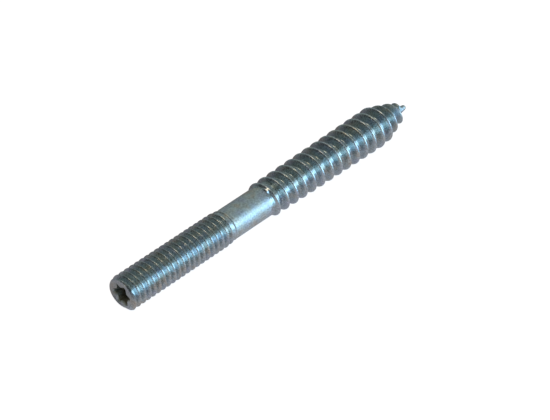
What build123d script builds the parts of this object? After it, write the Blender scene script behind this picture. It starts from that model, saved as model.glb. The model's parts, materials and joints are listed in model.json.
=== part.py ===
"""Hanger bolt: a one-piece double-ended screw, machine thread at one end, wood thread at the other.

The screw is modelled upright along Z, from the socket end at Z = 0 to the gimlet point, and
then laid on its side along X, as it comes to rest on a flat surface. There it touches at the
edge of the machine end and at the widest wood crest.

The wood thread is right-handed. Its skin is ruled between helical edges, a part of a turn at a
time, and closed over the point. The machine end is turned to the major diameter of its thread.
"""

import os
from math import asin, atan2, cos, degrees, hypot, pi, radians, sin, tan

from build123d import *

# Overall, millimetres and degrees
length = 88.9
shank_diameter = 7.2

# Machine end: 5/16 inch over the thread, with a run-out cone down to the shank
machine_diameter = 7.9
machine_length = 27.8
machine_run_out = 3.0
end_chamfer = 0.45
end_chamfer_angle = 48.0

# Wood thread: 9 turns to the inch, its crest growing towards the point
wood_pitch = 25.4 / 9
wood_turns = 16
wood_roll = -109.0
wood_root_diameter = 6.0
wood_first_crest_diameter = 8.5
wood_widest_crest_diameter = 9.5
wood_crest_flat = 0.4
wood_flank_angle = 25.0
wood_run_in = 1.4
wood_fade = 1.2
thinnest_flank = 0.1

# Gimlet point
point_length = 10.2
point_angle = 18.0
nose_radius = 0.5
nose_length = 0.3
nose_cone_length = 0.2

# Star socket in the end face
socket_point_diameter = 4.5
socket_valley_diameter = 3.2
socket_lobe_radius = 0.38
socket_depth = 3.0
socket_floor_angle = 30.0
lobe_count = 6

# Each face of the thread spans a sixth of a turn, and its edges are carried by this many steps
spans_per_turn = 6
span_points = 3

machine_radius = machine_diameter / 2
machine_end = machine_length + machine_run_out
shank_radius = shank_diameter / 2
wood_root_radius = wood_root_diameter / 2
point_start = length - point_length
nose_start = length - nose_length

# The thread is counted back from the point, and the plain shank takes what is left
wood_end = nose_start - nose_cone_length - wood_pitch
wood_start = wood_end - wood_turns * wood_pitch
shank_joint = wood_start - wood_pitch
cone_start = wood_end - wood_crest_flat - thinnest_flank


def share_between(value, start, end):
    return min(max((value - start) / (end - start), 0.0), 1.0)


def eased(value, start, end):
    """Smooth step, 0 up to start and 1 from end on."""
    share = share_between(value, start, end)
    return share * share * (3 - 2 * share)


def blend(first, second, share):
    return first + (second - first) * share


def on_circle(radius, angle):
    return radius * cos(angle), radius * sin(angle)


# Radius laws of the wood thread, by height


def point_core(z, full):
    """Core radius in the point: a curved shoulder that runs into a straight cone."""
    slope = (full - nose_radius) / (nose_start - (point_start + cone_start) / 2)
    if z < cone_start:
        return full - slope * max(z - point_start, 0) ** 2 / (cone_start - point_start) / 2
    return nose_radius + slope * (nose_start - z)


def root(z):
    """Full shank for the first turn, then down to the root, and the core of the point."""
    run_in_start = wood_start + wood_pitch
    run_in = eased(z, run_in_start, run_in_start + wood_run_in)
    return point_core(z, blend(shank_radius, wood_root_radius, run_in))


def crest(z):
    """Up from the shank, slowly wider, tapered over the point and down into its core."""
    growth = share_between(z, wood_start, point_start)
    full = blend(wood_first_crest_diameter, wood_widest_crest_diameter, growth) / 2
    risen = blend(shank_radius, full, eased(z, wood_start + wood_crest_flat, wood_start + wood_run_in))
    tapered = risen - tan(radians(point_angle)) * max(z - point_start, 0)
    fade = eased(z, wood_end - wood_fade, wood_end - wood_crest_flat)
    return blend(max(tapered, root(z)), root(z), fade)


# The four edges of the thread, as radius and height, for a ridge centred at a height


def flank_width(z):
    return hypot((crest(z) - root(z)) * tan(radians(wood_flank_angle)), thinnest_flank)


def lower_foot(z):
    height = z - wood_crest_flat / 2 - flank_width(z)
    return root(height), height


def lower_crest(z):
    height = z - wood_crest_flat / 2
    return crest(height), height


def upper_crest(z):
    height = z + wood_crest_flat / 2
    return crest(height), height


def upper_foot(z):
    height = z + wood_crest_flat / 2 + flank_width(z)
    return root(height), height


def helix_span(edge_law, span):
    """One span of a helical edge, a spline that keeps the slope of the true helix at its ends."""
    nudge = 1e-4

    def place(turns):
        radius, height = edge_law(wood_start + turns * wood_pitch)
        return Vector(*on_circle(radius, 2 * pi * turns), height)

    def slope(turns):
        return (place(turns + nudge) - place(turns - nudge)) / (2 * nudge)

    stations = [(span + step / span_points) / spans_per_turn for step in range(span_points + 1)]
    return Edge.make_spline(
        [place(station) for station in stations],
        tangents=[slope(stations[0]), slope(stations[-1])],
        parameters=stations,
        scale=False,
    )


def circle_spans(radius, height):
    """A circle in as many arcs as a turn has spans."""
    plane = Plane((0, 0, height))
    stops = [360 / spans_per_turn * span for span in range(spans_per_turn + 1)]
    return [Edge.make_circle(radius, plane, start, end) for start, end in zip(stops, stops[1:])]


def ruled(low_edges, high_edges):
    return [Face.make_surface_from_curves(low, high) for low, high in zip(low_edges, high_edges)]


# Skin of the wood thread: lower flank, crest land, upper flank and root land of every turn,
# then a collar at each end that runs from the thread's foot to a plain circle
thread_spans = wood_turns * spans_per_turn
feet = [helix_span(lower_foot, span) for span in range(thread_spans + spans_per_turn)]
ridge = [
    [helix_span(edge_law, span) for span in range(thread_spans)]
    for edge_law in (lower_crest, upper_crest, upper_foot)
]
shank_rim = circle_spans(shank_radius, shank_joint)
nose_rim = circle_spans(nose_radius, nose_start)
nose_flat = circle_spans(nose_radius / 2, length)

skin = [Face(Wire(shank_rim)), Face(Wire(nose_flat))]
across = [feet[:thread_spans], *ridge, feet[spans_per_turn:]]
for low_edges, high_edges in zip(across, across[1:]):
    skin += ruled(low_edges, high_edges)
skin += ruled(shank_rim, feet[:spans_per_turn])
skin += ruled(feet[-spans_per_turn:], nose_rim)
skin += ruled(nose_rim, nose_flat)
wood_end_solid = Solid(Shell(skin))

# Star socket: six lobes and the valleys between them are arcs that meet tangentially
chamfer_depth = end_chamfer * tan(radians(end_chamfer_angle))
lobe_ring = socket_point_diameter / 2 - socket_lobe_radius
valley_inner = socket_valley_diameter / 2
half_step = pi / lobe_count
valley_radius = (
    lobe_ring**2 + valley_inner**2 - 2 * lobe_ring * valley_inner * cos(half_step) - socket_lobe_radius**2
) / (2 * (socket_lobe_radius + lobe_ring * cos(half_step) - valley_inner))
valley_ring = valley_inner + valley_radius
valley_side, valley_rise = valley_ring * sin(half_step), valley_ring * cos(half_step)
lobe_half_arc = 180 - degrees(atan2(valley_side, lobe_ring - valley_rise))
valley_half_arc = lobe_half_arc - degrees(half_step)
socket_floor_depth = valley_inner * tan(radians(socket_floor_angle))

with BuildPart() as upright:
    with BuildSketch(Plane.XZ):
        with BuildLine():
            Polyline(
                (0, 0),
                (machine_radius - end_chamfer, 0),
                (machine_radius, chamfer_depth),
                (machine_radius, machine_length),
                (shank_radius, machine_end),
                (shank_radius, shank_joint),
                (0, shank_joint),
                close=True,
            )
        make_face()
    revolve(axis=Axis.Z)
    add(wood_end_solid, rotation=(0, 0, wood_roll))
    with BuildSketch(Plane.XY):
        with BuildLine():
            for lobe in range(lobe_count):
                lobe_angle = 2 * half_step * lobe
                valley_angle = lobe_angle + half_step
                CenterArc(
                    on_circle(lobe_ring, lobe_angle),
                    socket_lobe_radius,
                    degrees(lobe_angle) - lobe_half_arc,
                    2 * lobe_half_arc,
                )
                CenterArc(
                    on_circle(valley_ring, valley_angle),
                    valley_radius,
                    degrees(valley_angle) + 180 + valley_half_arc,
                    -2 * valley_half_arc,
                )
        make_face()
    extrude(amount=socket_depth, mode=Mode.SUBTRACT)
    with BuildSketch(Plane.XZ):
        with BuildLine():
            Polyline(
                (0, socket_depth),
                (valley_inner, socket_depth),
                (0, socket_depth + socket_floor_depth),
                close=True,
            )
        make_face()
    revolve(axis=Axis.Z, mode=Mode.SUBTRACT)

# At rest on its side: the rim of the machine end and the widest wood crest touch the ground
crest_step = wood_widest_crest_diameter / 2 - machine_radius
rest_tilt = asin(crest_step / (point_start - chamfer_depth))
rest_height = machine_radius * cos(rest_tilt) - chamfer_depth * sin(rest_tilt)
lying = Plane(
    origin=(-length / 2 * cos(rest_tilt), 0, rest_height),
    x_dir=(0, 1, 0),
    z_dir=(cos(rest_tilt), 0, sin(rest_tilt)),
)

with BuildPart() as hanger_bolt:
    with Locations(lying):
        add(upright.part)

hanger_bolt.part.label = "hanger_bolt"
os.makedirs("parts", exist_ok=True)
export_step(hanger_bolt.part, "parts/hanger_bolt.step")
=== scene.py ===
"""Hanger bolt in zinc-plated steel, lying on its side in a soft studio.

The bolt has a machine thread and a star socket at one end, a plain shank, and a wood thread
that grows towards a gimlet point. Sizes are in millimetres in the bolt's own axes, with Z up
from the socket end, until the finished skin is laid down on the frame's axis in metres.
"""

import json
from functools import partial
from math import atan2, cos, hypot, pi, radians, sin, tan

import bmesh
import bpy
from mathutils import Matrix, Vector


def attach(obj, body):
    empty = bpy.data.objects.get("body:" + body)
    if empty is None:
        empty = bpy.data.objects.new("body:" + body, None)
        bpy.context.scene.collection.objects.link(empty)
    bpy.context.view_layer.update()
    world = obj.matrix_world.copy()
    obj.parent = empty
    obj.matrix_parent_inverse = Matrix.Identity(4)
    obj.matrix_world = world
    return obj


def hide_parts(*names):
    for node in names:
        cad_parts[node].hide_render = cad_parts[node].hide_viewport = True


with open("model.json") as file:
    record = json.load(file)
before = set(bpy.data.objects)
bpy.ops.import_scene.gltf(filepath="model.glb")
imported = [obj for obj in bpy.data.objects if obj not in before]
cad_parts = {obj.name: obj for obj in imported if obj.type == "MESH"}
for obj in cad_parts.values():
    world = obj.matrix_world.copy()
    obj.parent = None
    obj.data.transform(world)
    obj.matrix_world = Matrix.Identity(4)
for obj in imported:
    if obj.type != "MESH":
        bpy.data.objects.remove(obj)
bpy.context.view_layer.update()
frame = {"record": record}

MILLIMETRE = 0.001

# ---------------------------------------------------------------- sizes, millimetres and degrees

length = 88.9
shank_radius = 3.62

# Machine thread, 18 turns to the inch. A ridge height is where the middle of one ridge is
machine_radius = 3.98
machine_pitch = 25.4 / 18
machine_depth = 0.88
machine_ridge = 1.18
machine_crest_flat = 0.12
machine_flank_angle = 30.0
machine_rounding = 0.1
full_thread_end = 27.6
machine_run_out = 3.4
root_rise_before = 0.5  # pitches before the end of the full thread
root_rise_after = 0.2  # pitches after the end of the run-out
end_chamfer = 0.45
end_chamfer_depth = 0.5
chamfer_clearance = 0.001  # by which the top of the chamfer stands clear of the crests

# Wood thread, 9 turns to the inch, with a crest that widens along it
wood_pitch = 25.4 / 9
wood_root_radius = 3.0
first_crest_radius = 4.28
widest_crest_radius = 4.78
wood_crest_flat = 0.35
wood_flank_angle = 25.0
wood_rounding = 0.2
wood_fillet = 0.5
wood_run_in = 1.4
wood_start = 40.3
wood_ridge = 41.18

# Gimlet point
point_start = 78.7
point_angle = 18.0
nose_radius = 0.66
nose_start = 88.1
last_crest_end = 87.25
last_crest_fade = 0.8
core_hollow = 0.42  # 0 is a straight cone, and more narrows sooner

# The lip that rolling left at the start of the wood thread, on the side that lies upwards
lip_angle = 108.0
lip_half_angle = 12.0
lip_slant = 30.0
lip_start = 41.2
lip_end = 41.95

# Star socket, measured over its lobes and its valleys
lobe_count = 6
socket_point_radius = 2.4
socket_valley_radius = 1.7
socket_lobe_radius = 0.38
socket_depth = 3.0
socket_floor_depth = 0.9
socket_edge_break = 0.28
socket_roll = -4.0

# Fineness of the skin. Its pitch changes on the plain shank, where it doesn't show
steps_a_turn = 60
rows_a_pitch = 24
pitch_change = 36.0
spare_turns = 1.5
weld_distance = 0.002
rolled_rise = 0.3  # a crest this far above the shank counts as fully rolled
arc_steps = 6
sharp_edge_angle = 38.0

# ---------------------------------------------------------------- small helpers

MATH = "ShaderNodeMath"
RAMP = "ShaderNodeMapRange"


def linear(hex_colour):
    """An sRGB hex colour as linear red, green, blue and alpha."""
    channels = [int(hex_colour[i : i + 2], 16) / 255 for i in (1, 3, 5)]
    return [c / 12.92 if c <= 0.04045 else ((c + 0.055) / 1.055) ** 2.4 for c in channels] + [1.0]


def node(tree, kind, *values, **named):
    """Adds a node to a tree.

    Values go to its sockets in order. Of the names, at_ and a number is the socket in that
    place, a capital starts a socket's own name, with _ for a space, and the rest are settings.
    A value is a number, a colour, a socket, or a node, which stands for its first output.
    """
    added = tree.nodes.new(kind)
    wanted = dict(enumerate(values))
    for name, value in named.items():
        if name.startswith("at_"):
            wanted[int(name[3:])] = value
        elif name[0].isupper():
            wanted[name.replace("_", " ")] = value
        else:
            setattr(added, name, value)
    for socket, value in wanted.items():
        if isinstance(value, bpy.types.Node):
            value = value.outputs[0]
        if isinstance(value, bpy.types.NodeSocket):
            tree.links.new(value, added.inputs[socket])
        else:
            added.inputs[socket].default_value = value
    return added


# ---------------------------------------------------------------- the threaded skin


def screw_tree(sizes, material):
    """One helical strip, from below the end face to the tip, whose neighbouring turns meet."""
    tree = bpy.data.node_groups.new("Threaded skin", "GeometryNodeTree")
    for name, value in sizes.items():
        kind = "NodeSocketInt" if isinstance(value, int) else "NodeSocketFloat"
        tree.interface.new_socket(name=name, in_out="INPUT", socket_type=kind)
    tree.interface.new_socket(name="Skin", in_out="OUTPUT", socket_type="NodeSocketGeometry")
    add = partial(node, tree)
    given = add("NodeGroupInput").outputs

    turns = given["Turns"]
    steps = add(MATH, turns, given["Steps a turn"], operation="MULTIPLY")
    grid = add(
        "GeometryNodeMeshGrid",
        Size_X=turns,
        Size_Y=1.0,
        Vertices_X=add(MATH, steps, 1, operation="ADD"),
        Vertices_Y=add(MATH, given["Rows a pitch"], 1, operation="ADD"),
    )

    # The grid is centred, so half its length and half its width are added
    place = add("ShaderNodeSeparateXYZ", add("GeometryNodeInputPosition")).outputs
    half_turns = add(MATH, turns, 0.5, operation="MULTIPLY")
    turn = add(MATH, place[0], half_turns, operation="ADD")
    across_strip = add(MATH, turn, place[1], operation="ADD")
    along = add(MATH, across_strip, 0.5, operation="ADD")

    # Height: the machine pitch up to the change, the wood pitch after it, no higher than the tip
    start = given["Start"]
    change = given["Pitch change"]
    machine_pitches = add(MATH, change, start, operation="SUBTRACT")
    change_turn = add(MATH, machine_pitches, given["Machine pitch"], operation="DIVIDE")
    wood_turn = add(MATH, along, change_turn, operation="SUBTRACT")
    machine_height = add(MATH, along, given["Machine pitch"], start, operation="MULTIPLY_ADD")
    wood_height = add(MATH, wood_turn, given["Wood pitch"], change, operation="MULTIPLY_ADD")
    endless_height = add(MATH, machine_height, wood_height, operation="MAXIMUM")
    height = add(MATH, endless_height, given["Length"], operation="MINIMUM")

    def ridge_distance(pitch, ridge):
        """Distance along the axis from the middle of the nearest ridge."""
        above = add(MATH, height, ridge, operation="SUBTRACT")
        pitches = add(MATH, above, pitch, operation="DIVIDE")
        phase = add(MATH, pitches, turn, operation="SUBTRACT")
        nearest = add(MATH, phase, operation="ROUND")
        offset = add(MATH, phase, nearest, operation="SUBTRACT")
        distance = add(MATH, offset, operation="ABSOLUTE")
        return add(MATH, distance, pitch, operation="MULTIPLY")

    def thread(distance, crest, root, flat, flank_angle, rounding, fillet):
        """Radius of a ridge with rounded crest edges and a fillet at its foot."""
        half_flat = add(MATH, flat, 0.5, operation="MULTIPLY")
        beyond = add(MATH, distance, half_flat, operation="SUBTRACT")
        down_flank = add(MATH, beyond, 0.0, rounding, operation="SMOOTH_MAX")
        slope = add(MATH, flank_angle, operation="TANGENT")
        fall = add(MATH, down_flank, slope, operation="DIVIDE")
        depth = add(MATH, crest, root, operation="SUBTRACT")
        room = add(MATH, fillet, depth, operation="MINIMUM")
        blending = add(MATH, room, 0.0, operation="MAXIMUM")
        flank = add(MATH, crest, fall, operation="SUBTRACT")
        return add(MATH, flank, root, blending, operation="SMOOTH_MAX")

    # Machine thread, which fades into the shank and is cut back by the chamfer
    shank = given["Shank radius"]
    thread_end = given["Full thread end"]
    run_out_end = add(MATH, thread_end, given["Machine run-out"], operation="ADD")
    machine_crest = add(
        RAMP,
        height,
        thread_end,
        run_out_end,
        given["Machine radius"],
        shank,
        interpolation_type="SMOOTHSTEP",
    )
    before = add(MATH, given["Machine pitch"], root_rise_before, operation="MULTIPLY")
    after = add(MATH, given["Machine pitch"], root_rise_after, operation="MULTIPLY")
    machine_root = add(
        RAMP,
        height,
        add(MATH, thread_end, before, operation="SUBTRACT"),
        add(MATH, run_out_end, after, operation="ADD"),
        add(MATH, given["Machine radius"], given["Machine depth"], operation="SUBTRACT"),
        shank,
        interpolation_type="SMOOTHSTEP",
    )
    unchamfered = thread(
        ridge_distance(given["Machine pitch"], given["Machine ridge"]),
        machine_crest,
        machine_root,
        given["Machine crest flat"],
        given["Machine flank angle"],
        given["Machine rounding"],
        given["Machine rounding"],
    )
    chamfer = add(
        RAMP,
        height,
        0.0,
        given["Chamfer depth"],
        add(MATH, given["Machine radius"], given["Chamfer"], operation="SUBTRACT"),
        add(MATH, given["Machine radius"], chamfer_clearance, operation="ADD"),
    )
    machine = add(MATH, unchamfered, chamfer, operation="MINIMUM")

    # Wood thread: its root sinks a pitch after the start, and its core narrows over the point
    wood = given["Wood start"]
    run_in = given["Wood run-in"]
    point = given["Point start"]
    root_start = add(MATH, wood, given["Wood pitch"], operation="ADD")
    full_root = add(
        RAMP,
        height,
        root_start,
        add(MATH, root_start, run_in, operation="ADD"),
        shank,
        given["Wood root radius"],
        interpolation_type="SMOOTHSTEP",
    )
    share = add(RAMP, height, point, given["Nose start"], 0.0, 1.0)
    hollow = add(MATH, share, -core_hollow, 1 + core_hollow, operation="MULTIPLY_ADD")
    narrowed = add(MATH, share, hollow, operation="MULTIPLY")
    narrowing = add(MATH, given["Nose radius"], full_root, operation="SUBTRACT")
    core = add(MATH, narrowing, narrowed, full_root, operation="MULTIPLY_ADD")

    # Its crest rises from the shank, widens, is cut back by the point and ends in the core
    widening = add(
        RAMP, height, wood, point, given["First crest radius"], given["Widest crest radius"]
    )
    run_in_end = add(MATH, wood, run_in, operation="ADD")
    risen = add(
        "ShaderNodeMix",
        Factor=add(RAMP, height, wood, run_in_end, 0.0, 1.0, interpolation_type="SMOOTHSTEP"),
        A=shank,
        B=widening,
    )
    above_point = add(MATH, height, point, operation="SUBTRACT")
    past_point = add(MATH, above_point, 0.0, operation="MAXIMUM")
    point_slope = add(MATH, given["Point angle"], operation="TANGENT")
    cut_back = add(MATH, past_point, point_slope, operation="MULTIPLY")
    pointed = add(MATH, risen, cut_back, operation="SUBTRACT")
    last = given["Last crest end"]
    fade_start = add(MATH, last, last_crest_fade, operation="SUBTRACT")
    wood_crest = add(
        "ShaderNodeMix",
        Factor=add(RAMP, height, fade_start, last, 0.0, 1.0, interpolation_type="SMOOTHSTEP"),
        A=add(MATH, pointed, core, operation="MAXIMUM"),
        B=core,
    )
    wooden = thread(
        ridge_distance(given["Wood pitch"], given["Wood ridge"]),
        wood_crest,
        core,
        given["Wood crest flat"],
        given["Wood flank angle"],
        given["Wood rounding"],
        given["Wood fillet"],
    )

    # Both threads meet at the shank's radius, and a round nose closes the skin in one point
    both = add(MATH, machine, wooden, operation="ADD")
    round_bar = add(MATH, both, shank, operation="SUBTRACT")
    nose_share = add(RAMP, height, given["Nose start"], given["Length"], 0.0, 1.0)
    nose_square = add(MATH, nose_share, 2.0, operation="POWER")
    nose_left = add(MATH, 1.0, nose_square, operation="SUBTRACT")
    nose = add(MATH, nose_left, operation="SQRT")
    radius = add(MATH, round_bar, nose, operation="MULTIPLY")
    angle = add(MATH, turn, 2 * pi, operation="MULTIPLY")
    cosine = add(MATH, angle, operation="COSINE")
    sine = add(MATH, angle, operation="SINE")
    skin_place = add(
        "ShaderNodeCombineXYZ",
        add(MATH, radius, cosine, operation="MULTIPLY"),
        add(MATH, radius, sine, operation="MULTIPLY"),
        height,
    )

    # Marks for the plating: depth below the crests, for duller plating and painted shade in the
    # grooves, and 1 on the rolled threads
    both_crests = add(MATH, machine_crest, wood_crest, operation="ADD")
    over_crests = add(MATH, both_crests, shank, operation="SUBTRACT")
    crest_rise = add(MATH, over_crests, shank, operation="SUBTRACT")
    marked = grid
    for name, value in (
        ("groove", add(MATH, over_crests, round_bar, operation="SUBTRACT")),
        ("rolled", add(RAMP, crest_rise, 0.0, rolled_rise, 0.0, 1.0)),
    ):
        marked = add(
            "GeometryNodeStoreNamedAttribute",
            data_type="FLOAT",
            domain="POINT",
            Geometry=marked,
            Name=name,
            Value=value,
        )
    wrapped = add("GeometryNodeSetPosition", Geometry=marked, Position=skin_place)
    welded = add("GeometryNodeMergeByDistance", Geometry=wrapped, Distance=weld_distance)
    real = add("GeometryNodeRealizeInstances", Geometry=welded)
    coated = add("GeometryNodeSetMaterial", Geometry=real, Material=material)
    add("NodeGroupOutput", Skin=coated)
    return tree


def threaded_skin(sizes, material):
    """The evaluated strip as a plain mesh, still in millimetres and open below the end face."""
    holder = bpy.data.objects.new("Threaded skin", bpy.data.meshes.new("Threaded skin"))
    bpy.context.scene.collection.objects.link(holder)
    modifier = holder.modifiers.new("Threaded skin", "NODES")
    modifier.node_group = screw_tree(sizes, material)
    for item in modifier.node_group.interface.items_tree:
        if item.in_out == "INPUT":
            modifier[item.identifier] = sizes[item.name]
    bpy.context.view_layer.update()
    evaluated = holder.evaluated_get(bpy.context.evaluated_depsgraph_get())
    mesh = bpy.data.meshes.new_from_object(evaluated)
    bpy.data.objects.remove(holder)
    return mesh


def press_lip(mesh):
    """Presses the small slanting lip where the rolling of the wood thread began.

    It has its full height over the middle half of its width, and fades to both sides.
    """
    for vertex in mesh.vertices:
        x, y, z = vertex.co
        reach = abs(atan2(y, x) - radians(lip_angle)) / radians(lip_half_angle)
        if reach < 1 and lip_start < z < lip_end:
            radius = hypot(x, y)
            slanting = first_crest_radius - tan(radians(lip_slant)) * (lip_end - z)
            lift = max(0.0, slanting - radius) * min(1.0, 2 * (1 - reach))
            vertex.co = (x * (1 + lift / radius), y * (1 + lift / radius), z)


# ---------------------------------------------------------------- the star socket


def star_outline(growth):
    """Points of the six-lobe outline, its lobes and valleys tangent arcs, grown outwards."""
    lobe_ring = socket_point_radius - socket_lobe_radius
    step = pi / lobe_count
    valley_arc = (
        lobe_ring**2
        + socket_valley_radius**2
        - 2 * lobe_ring * socket_valley_radius * cos(step)
        - socket_lobe_radius**2
    ) / (2 * (socket_lobe_radius + lobe_ring * cos(step) - socket_valley_radius))
    valley_ring = socket_valley_radius + valley_arc
    lobe_half = pi - atan2(valley_ring * sin(step), lobe_ring - valley_ring * cos(step))
    valley_half = lobe_half - step
    points = []
    for lobe in range(lobe_count):
        middle = 2 * step * lobe + radians(socket_roll)
        valley = middle + step
        for centre_angle, ring, arc, half, first in (
            (middle, lobe_ring, socket_lobe_radius + growth, lobe_half, middle - lobe_half),
            (valley, valley_ring, valley_arc - growth, -valley_half, valley + pi + valley_half),
        ):
            for index in range(arc_steps):
                angle = first + 2 * half * index / arc_steps
                x = ring * cos(centre_angle) + arc * cos(angle)
                y = ring * sin(centre_angle) + arc * sin(angle)
                points.append((x, y))
    return points


def close_end(mesh):
    """Cuts the skin at the end face and closes it with the face ring and the star socket."""
    skin = bmesh.new()
    skin.from_mesh(mesh)
    painted_socket_shade = skin.verts.layers.float.new("painted_socket_shade")
    bmesh.ops.bisect_plane(
        skin,
        geom=skin.verts[:] + skin.edges[:] + skin.faces[:],
        plane_co=(0, 0, 0),
        plane_no=(0, 0, 1),
        clear_inner=True,
    )
    mouth, throat, foot = [
        [skin.verts.new((x, y, depth)) for x, y in star_outline(growth)]
        for growth, depth in (
            (socket_edge_break, 0.0),
            (0.0, socket_edge_break),
            (0.0, socket_depth),
        )
    ]
    rim = [edge for edge in skin.edges if edge.is_boundary]
    sides = [(i, (i + 1) % len(mouth)) for i in range(len(mouth))]
    star = [skin.edges.new((mouth[i], mouth[j])) for i, j in sides]
    bmesh.ops.triangle_fill(skin, use_beauty=True, edges=rim + star)
    for upper, lower in ((mouth, throat), (throat, foot)):
        for i, j in sides:
            skin.faces.new((upper[i], upper[j], lower[j], lower[i]))
    middle = skin.verts.new((0, 0, socket_depth + socket_floor_depth))
    for i, j in sides:
        skin.faces.new((foot[i], foot[j], middle))
    # The inside of the socket is marked for painted shade
    for vertex in throat + foot + [middle]:
        vertex[painted_socket_shade] = 1.0
    bmesh.ops.recalc_face_normals(skin, faces=skin.faces[:])
    for face in skin.faces:
        face.smooth = True
        face.material_index = 0
    for edge in skin.edges:
        edge.smooth = edge.is_manifold and edge.calc_face_angle() < radians(sharp_edge_angle)
    open_edges = sum(not edge.is_manifold for edge in skin.edges)
    assert open_edges == 0, f"{open_edges} open edges"
    skin.to_mesh(mesh)
    skin.free()


# ---------------------------------------------------------------- the plating


def blank_material(name):
    """A new material and its node tree, which has no nodes yet."""
    material = bpy.data.materials.new(name)
    material.use_nodes = True
    material.node_tree.nodes.clear()
    return material, material.node_tree


def zinc_plating():
    """Steel, barrel-plated with bright zinc and dipped in clear blue passivation.

    To the eye it is a cool, slightly blue mirror with a soft bloom, with faint yellow and violet
    clouds where the passivation is thicker, and fine crystalline mottling. The real crystals are
    finer than the eye can part, so the grain is drawn as coarse as it needs to be to show.
    """
    cloud_size = 2.5 * MILLIMETRE
    grain_size = 0.35 * MILLIMETRE
    grain_height = 0.035 * MILLIMETRE
    dark_crystal, light_crystal = 0.76, 1.2
    smoothest, roughest = 0.22, 0.36
    unrolled_bloom = 0.18
    groove_top, groove_foot = 0.1, 0.9  # millimetres below the crests
    material, tree = blank_material("Clear-passivated zinc plating")
    add = partial(node, tree)
    place = add("ShaderNodeTexCoord").outputs["Object"]
    grain = add("ShaderNodeTexNoise", Vector=place, Scale=1 / grain_size, Detail=3.0)
    clouds = add(
        "ShaderNodeTexNoise", Vector=place, Scale=1 / cloud_size, Detail=2.0, Roughness=0.5
    )
    tint = add("ShaderNodeValToRGB", clouds)
    yellow, clear = tint.color_ramp.elements
    yellow.position, yellow.color = 0.3, linear("#C9C3BA")
    clear.position, clear.color = 0.5, linear("#C3CBCD")
    tint.color_ramp.elements.new(0.7).color = linear("#C0C4D0")

    # The grain speckles the clouds, the grooves get duller plating and painted shade, and the
    # socket gets painted shade
    groove = add("ShaderNodeAttribute", attribute_name="groove").outputs["Fac"]
    painted_socket_shade = add("ShaderNodeAttribute", attribute_name="painted_socket_shade").outputs["Fac"]
    dulling_and_painted_shade = add(
        RAMP, groove, groove_top, groove_foot, 0.0, 1.0, interpolation_type="SMOOTHSTEP"
    )
    speckled = add(
        "ShaderNodeMix",
        data_type="RGBA",
        blend_type="MULTIPLY",
        Factor=1.0,
        at_6=tint,
        at_7=add(RAMP, grain, 0.35, 0.65, dark_crystal, light_crystal),
    )
    dulled_and_shaded = add(
        "ShaderNodeMix",
        data_type="RGBA",
        blend_type="MULTIPLY",
        Factor=dulling_and_painted_shade,
        at_6=speckled.outputs[2],
        at_7=linear("#E2E8E9"),
    )
    # Painted shade greys the inside of the socket
    colour = add(
        "ShaderNodeMix",
        data_type="RGBA",
        Factor=painted_socket_shade,
        at_6=dulled_and_shaded.outputs[2],
        at_7=linear("#AFAFA4"),
    )

    # The dies burnished the threads, so the plain shank and the end have the softer bloom
    rolled = add("ShaderNodeAttribute", attribute_name="rolled").outputs["Fac"]
    bloom = add(RAMP, rolled, 0.0, 1.0, unrolled_bloom, 0.0)
    mottled = add(RAMP, grain, 0.3, 0.7, smoothest, roughest)
    metal = add(
        "ShaderNodeBsdfPrincipled",
        Base_Color=colour.outputs[2],
        Metallic=1.0,
        Roughness=add(MATH, mottled, bloom, operation="ADD"),
        Normal=add("ShaderNodeBump", Height=grain, Strength=0.85, Distance=grain_height),
    )
    add("ShaderNodeOutputMaterial", Surface=metal)
    return material


# ---------------------------------------------------------------- the bolt

strip_start = -spare_turns * machine_pitch
machine_turns = (pitch_change - strip_start) / machine_pitch
wood_turns = (length - pitch_change) / wood_pitch

plating = zinc_plating()
bolt_mesh = threaded_skin(
    {
        "Turns": round(machine_turns + wood_turns + spare_turns),
        "Steps a turn": steps_a_turn,
        "Rows a pitch": rows_a_pitch,
        "Start": strip_start,
        "Pitch change": pitch_change,
        "Length": length,
        "Shank radius": shank_radius,
        "Machine radius": machine_radius,
        "Machine pitch": machine_pitch,
        "Machine depth": machine_depth,
        "Machine ridge": machine_ridge,
        "Machine crest flat": machine_crest_flat,
        "Machine flank angle": radians(machine_flank_angle),
        "Machine rounding": machine_rounding,
        "Full thread end": full_thread_end,
        "Machine run-out": machine_run_out,
        "Chamfer": end_chamfer,
        "Chamfer depth": end_chamfer_depth,
        "Wood pitch": wood_pitch,
        "Wood start": wood_start,
        "Wood ridge": wood_ridge,
        "Wood run-in": wood_run_in,
        "Wood root radius": wood_root_radius,
        "First crest radius": first_crest_radius,
        "Widest crest radius": widest_crest_radius,
        "Wood crest flat": wood_crest_flat,
        "Wood flank angle": radians(wood_flank_angle),
        "Wood rounding": wood_rounding,
        "Wood fillet": wood_fillet,
        "Point start": point_start,
        "Point angle": radians(point_angle),
        "Nose radius": nose_radius,
        "Nose start": nose_start,
        "Last crest end": last_crest_end,
    },
    plating,
)
press_lip(bolt_mesh)
close_end(bolt_mesh)
bolt_mesh.materials.clear()
bolt_mesh.materials.append(plating)

# Laid down on the axis that the frame's record gives
mounts = {mount["name"]: mount for mount in frame["record"]["mounts"]}
axis = -Vector(mounts["machine_thread"]["axis"])
on_axis = Vector(mounts["machine_thread"]["pos_m"])
end_centre = on_axis + axis * (Vector(mounts["end_face"]["pos_m"]) - on_axis).dot(axis)
across = Vector((0, 1, 0))
upwards = axis.cross(across)
turned = Matrix((across, upwards, axis)).transposed().to_4x4()
bolt_mesh.transform(Matrix.Translation(end_centre) @ turned @ Matrix.Scale(MILLIMETRE, 4))
bolt = bpy.data.objects.new("Hanger_bolt", bolt_mesh)
bpy.context.scene.collection.objects.link(bolt)
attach(bolt, "root")
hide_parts("hanger_bolt")

# ---------------------------------------------------------------- studio, metres

scene = bpy.context.scene
scene.view_settings.view_transform = "Standard"
white = linear("#FFFFFF")


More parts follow.
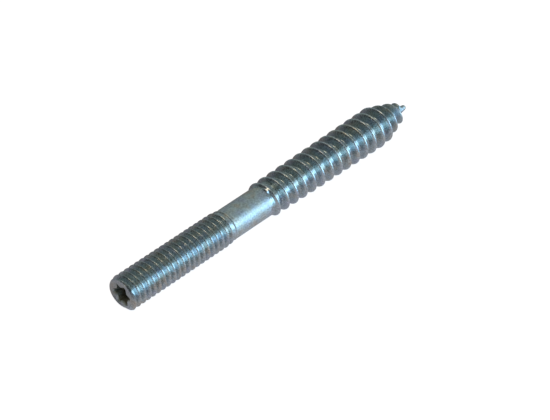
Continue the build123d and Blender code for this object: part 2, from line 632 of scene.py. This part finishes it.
def seen_in_metal(add):
    """1 for what reflections and glass look at, and 0 for the camera and for cast light."""
    path = add("ShaderNodeLightPath").outputs
    return add(MATH, path["Is Glossy Ray"], path["Is Transmission Ray"], operation="MAXIMUM")


def studio_air():
    """A white surround that the camera and the metal see, and that lights things faintly."""
    light_level = 0.25
    air = bpy.data.worlds.new("Studio")
    air.use_nodes = True
    air.node_tree.nodes.clear()
    add = partial(node, air.node_tree)
    camera_ray = add("ShaderNodeLightPath").outputs["Is Camera Ray"]
    seen = add(MATH, camera_ray, seen_in_metal(add), operation="MAXIMUM")
    level = add(RAMP, seen, 0.0, 1.0, light_level, 1.0)
    add("ShaderNodeOutputWorld", Surface=add("ShaderNodeBackground", white, level))
    return air


def seamless_paper():
    """White paper, which lies flat and takes the bolt's shadow.

    What the metal sees in it is painted light and shade: painted grey shade near the bolt, a
    painted pool of cool light in front of it, dimmer past the socket end, and nearly black in a
    painted shade behind the bolt.
    """
    pool_rim_y, pool_full_y = -0.01, -0.035
    past_end_x, full_light_x = -0.06, -0.042
    past_end_level = 0.15
    shade_y, full_shade_y = 0.0, 0.002
    shade_x, full_shade_x = -0.0475, -0.0462
    shade_level = 0.1
    camera_level = 0.9
    material, tree = blank_material("White seamless paper")
    material.cycles.emission_sampling = "NONE"
    add = partial(node, tree)
    place = add("ShaderNodeSeparateXYZ", add("ShaderNodeTexCoord").outputs["Object"]).outputs
    before_bolt, beside_bolt, behind_bolt, under_end = [
        add(RAMP, place[side], start, end, low, 1.0, interpolation_type="SMOOTHSTEP")
        for side, start, end, low in (
            ("Y", pool_rim_y, pool_full_y, 0.0),
            ("X", past_end_x, full_light_x, past_end_level),
            ("Y", shade_y, full_shade_y, 0.0),
            ("X", shade_x, full_shade_x, 0.0),
        )
    ]
    # Painted reflections: grey shade near the bolt and a cool pool of light in front of it
    painted_pool_colour = add(
        "ShaderNodeMix",
        data_type="RGBA",
        Factor=add(MATH, before_bolt, beside_bolt, operation="MULTIPLY"),
        at_6=linear("#959190"),
        at_7=linear("#9FE0FF"),
    )
    # Painted contact shade behind the bolt, and painted dimming past the socket end
    painted_contact_shade = add(MATH, behind_bolt, under_end, operation="MULTIPLY")
    unshaded = add(RAMP, painted_contact_shade, 0.0, 1.0, 1.0, shade_level)
    lit_level = add(MATH, unshaded, beside_bolt, operation="MULTIPLY")
    metal_level = add(MATH, seen_in_metal(add), lit_level, operation="MULTIPLY")
    camera_ray = add("ShaderNodeLightPath").outputs["Is Camera Ray"]
    seen_level = add(MATH, camera_ray, camera_level, operation="MULTIPLY")
    glow = add(
        "ShaderNodeAddShader",
        add("ShaderNodeEmission", white, seen_level),
        add("ShaderNodeEmission", painted_pool_colour.outputs[2], metal_level),
    )
    matt = add("ShaderNodeBsdfDiffuse", linear("#B4AEB6"))
    add("ShaderNodeOutputMaterial", Surface=add("ShaderNodeAddShader", matt, glow))
    return material


def painted_ceiling_reflection():
    """A glowing grey sheet that only reflections see, a painted reflection of a dark ceiling and
    walls, darkest past the socket end.
    """
    darkest_x, plain_x = -0.6, -0.1
    darkest_level = 0.15
    material, tree = blank_material("Painted ceiling reflection")
    material.cycles.emission_sampling = "NONE"
    add = partial(node, tree)
    place = add("ShaderNodeSeparateXYZ", add("ShaderNodeTexCoord").outputs["Object"]).outputs
    level = add(RAMP, place["X"], darkest_x, plain_x, darkest_level, 1.0)
    glow = add("ShaderNodeEmission", linear("#909C9A"), level)
    add("ShaderNodeOutputMaterial", Surface=glow)
    return material


def backdrop(name, corners, faces, material):
    """Part of the studio, made from its corners and faces."""
    mesh = bpy.data.meshes.new(name)
    mesh.from_pydata(corners, [], faces)
    mesh.materials.append(material)
    sheet = bpy.data.objects.new(name, mesh)
    scene.collection.objects.link(sheet)
    return sheet


def soft_box(name, place, aim, width, height, watts, colour):
    """A rectangular lamp that faces its aim."""
    lamp = bpy.data.lights.new(name, "AREA")
    lamp.shape = "RECTANGLE"
    lamp.size, lamp.size_y = width, height
    lamp.energy = watts
    lamp.color = linear(colour)[:3]
    holder = bpy.data.objects.new(name, lamp)
    holder.location = place
    holder.rotation_euler = (Vector(aim) - Vector(place)).to_track_quat("-Z", "Y").to_euler()
    scene.collection.objects.link(holder)


scene.world = studio_air()

floor_half = 1.5
floor_corners = [(-1, -1), (1, -1), (1, 1), (-1, 1)]
floor = backdrop(
    "Floor",
    [(floor_half * x, floor_half * y, 0) for x, y in floor_corners],
    [(0, 1, 2, 3)],
    seamless_paper(),
)

soft_box(
    "Key",
    place=(0.5, -0.5, 0.155),
    aim=(0.5, 0, 0.155),
    width=1.6,
    height=0.31,
    watts=4,
    colour="#94DAFF",
)
soft_box(
    "Overhead",
    place=(-0.2, -0.015, 0.46),
    aim=(0, 0, 0),
    width=0.14,
    height=0.14,
    watts=0.32,
    colour="#FFEBC8",
)

# Canopy that only reflections see: a glowing grey sheet that is a painted reflection of a dark
# studio. It arches from near the top of the key lamp, over the bolt and down behind it, and is
# closed at both ends. A flag beside the lamp, past the socket end, carries it down to the floor
canopy_radius = 0.5
canopy_half_length = 1.2
canopy_steps = 16
canopy_from, canopy_to = radians(-57), radians(95)
flag_end = -0.3
ring = []
for index in range(canopy_steps + 1):
    angle = canopy_from + (canopy_to - canopy_from) * index / canopy_steps
    y, z = canopy_radius * sin(angle), canopy_radius * cos(angle)
    ring += [(-canopy_half_length, y, z), (canopy_half_length, y, z)]
panels = [(2 * i, 2 * i + 1, 2 * i + 3, 2 * i + 2) for i in range(canopy_steps)]
arch = len(ring)
flag_y, flag_top = ring[0][1:]
flag_corners = [
    (-canopy_half_length, flag_y, 0),
    (flag_end, flag_y, 0),
    (flag_end, flag_y, flag_top),
]
flag = (0, arch, arch + 1, arch + 2)
socket_wall = [arch] + list(range(0, arch, 2))
point_wall = list(range(1, arch, 2))
canopy = backdrop(
    "Canopy", ring + flag_corners, panels + [flag, socket_wall, point_wall], painted_ceiling_reflection()
)
canopy.visible_camera = False
canopy.visible_diffuse = False
canopy.visible_transmission = False
canopy.visible_shadow = False

# ---------------------------------------------------------------- camera

view_azimuth = radians(223.48)
view_elevation = radians(38.75)
view_distance = 0.391
lens = 119.1
aim = Vector((-0.00301, -0.00376, 0.004))
level_reach = cos(view_elevation)
towards_camera = Vector(
    (level_reach * cos(view_azimuth), level_reach * sin(view_azimuth), sin(view_elevation))
)
camera_data = bpy.data.cameras.new("Camera")
camera_data.lens = lens
camera_data.sensor_width = 36.0
camera_data.clip_start = 0.01
camera = bpy.data.objects.new("Camera", camera_data)
camera.location = aim + towards_camera * view_distance
camera.rotation_euler = (-towards_camera).to_track_quat("-Z", "Y").to_euler()
scene.collection.objects.link(camera)
scene.camera = camera
